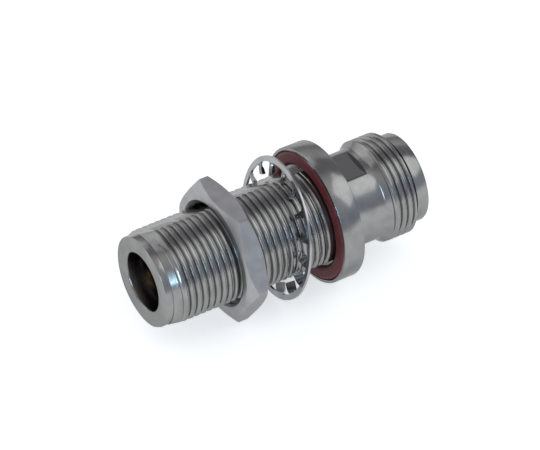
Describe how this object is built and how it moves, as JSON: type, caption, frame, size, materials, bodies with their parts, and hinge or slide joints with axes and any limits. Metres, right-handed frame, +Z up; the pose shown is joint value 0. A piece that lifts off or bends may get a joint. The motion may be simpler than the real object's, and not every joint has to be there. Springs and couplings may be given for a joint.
{
  "type": "n-type coaxial adapter",
  "caption": "Jack-to-jack coaxial bulkhead adapter: long threaded barrel with a panel nut and toothed washer, sealed flange, flatted neck and a jack behind it.",
  "frame": {"origin": "on the axis, at the flange's sealing rim, where the panel seats", "axes": "+X along the axis from the threaded barrel towards the far jack, +Z up as the adapter lies on a nut flat"},
  "size_m": [0.0451, 0.0226, 0.0214],
  "materials": {
    "body_metal": "turned, satin",
    "bush_metal": "turned, satin",
    "nut_metal": "milled, satin",
    "washer_metal": "stamped, bright plated",
    "spacer_metal": "turned",
    "contact_metal": "gold plated",
    "bead_plastic": "matt",
    "gasket_rubber": "matt"
  },
  "bodies": {
    "adapter": {"adapter_body": "body_metal", "end_bush": "bush_metal", "near_bead": "bead_plastic", "far_bead": "bead_plastic", "spacer_sleeve": "spacer_metal", "near_contact": "contact_metal", "far_contact": "contact_metal", "gasket": "gasket_rubber"},
    "washer": {"lock_washer": "washer_metal"},
    "nut": {"hex_nut": "nut_metal"}
  },
  "joints": [
    {"name": "nut_turn", "type": "hinge", "parent": "adapter", "child": "washer", "pos_m": [-0.0051, 0, 0], "axis": [1, 0, 0], "range_deg": [-5400, 1710]},
    {"name": "nut_travel", "type": "slide", "parent": "washer", "child": "nut", "axis": [1, 0, 0], "range_m": [-0.0159, 0.00504]}
  ],
  "couplings": [
    {"joint": "nut_travel", "follows": "nut_turn", "m_per_rad": 0.00016844}
  ]
}
